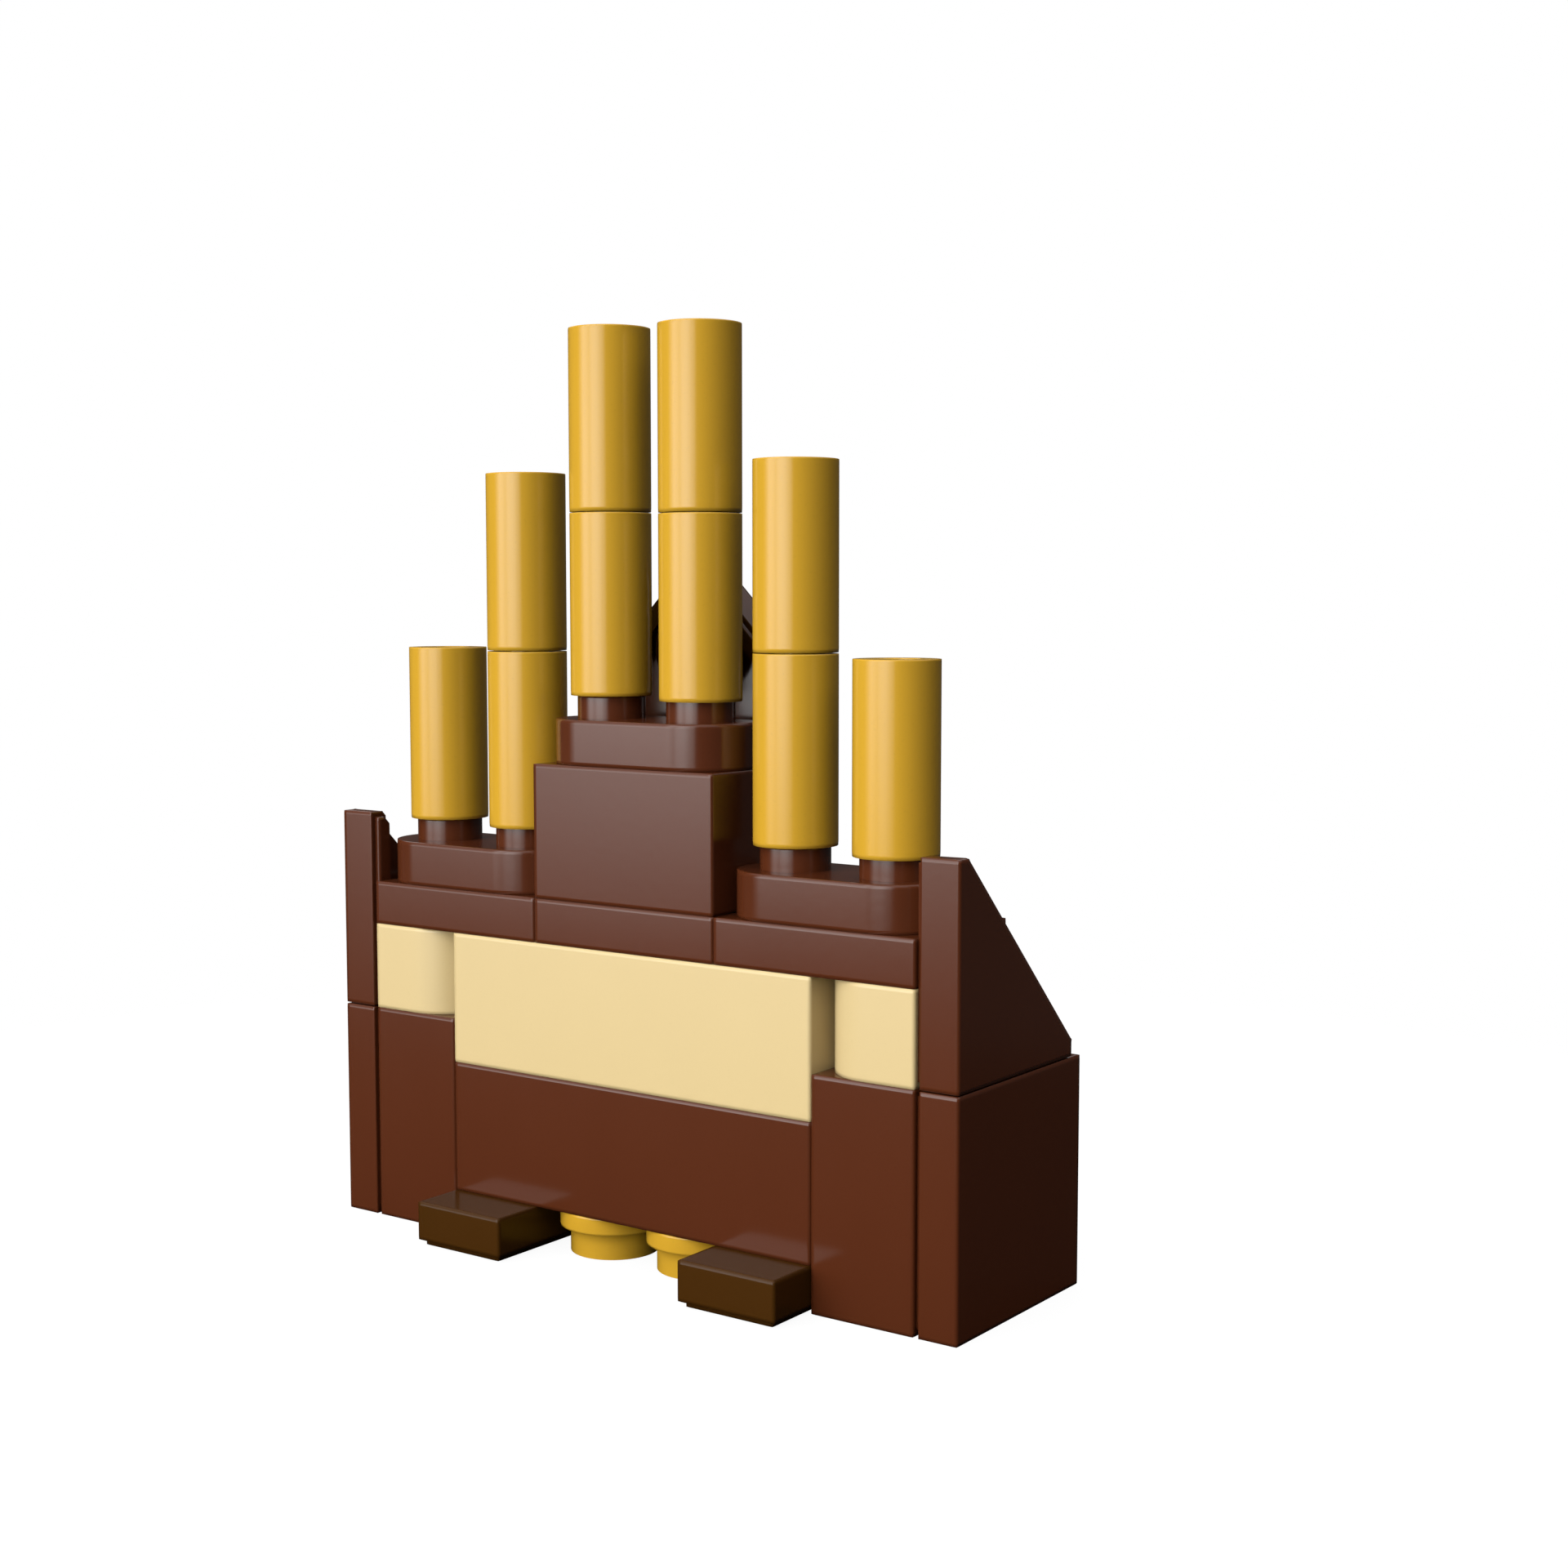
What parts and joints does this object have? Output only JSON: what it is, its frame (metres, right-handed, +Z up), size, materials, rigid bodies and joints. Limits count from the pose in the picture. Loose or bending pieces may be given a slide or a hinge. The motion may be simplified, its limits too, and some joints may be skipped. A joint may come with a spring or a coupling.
{
  "type": "toy pipe organ of interlocking bricks",
  "caption": "Small toy pipe organ of interlocking bricks: a brown case with a tan band, side panels, and a rising group of gold pipes.",
  "frame": {"origin": "under the middle of the whole model, on the surface that it stands on", "axes": "+X to the viewer's right, +Y from the front to the back, +Z up along the pipes"},
  "size_m": [0.0542, 0.0198, 0.0656],
  "materials": {
    "reddish_brown": "glossy moulded plastic",
    "dark_brown": "glossy moulded plastic",
    "tan": "glossy moulded plastic",
    "gold": "warm golden plastic with a soft sheen"
  },
  "bodies": {
    "root": {"foot_left": "dark_brown", "foot_right": "dark_brown", "round_plate_left": "gold", "round_plate_right": "gold", "pillar_left": "reddish_brown", "pillar_right": "reddish_brown", "lower_brick": "reddish_brown", "tan_brick": "tan", "tan_end_left": "tan", "tan_end_right": "tan", "ledge_left": "reddish_brown", "ledge_middle": "reddish_brown", "ledge_right": "reddish_brown", "shelf_left": "reddish_brown", "shelf_middle": "reddish_brown", "shelf_right": "reddish_brown", "centre_block": "reddish_brown", "pipe_left_outer": "gold", "pipe_left_inner_lower": "gold", "pipe_left_inner_upper": "gold", "pipe_left_centre_lower": "gold", "pipe_left_centre_upper": "gold", "pipe_right_centre_lower": "gold", "pipe_right_centre_upper": "gold", "pipe_right_inner_lower": "gold", "pipe_right_inner_upper": "gold", "pipe_right_outer": "gold", "side_tile_left": "reddish_brown", "side_tile_right": "reddish_brown", "side_triangle_left": "reddish_brown", "side_triangle_right": "reddish_brown", "crest": "reddish_brown"}
  },
  "joints": []
}
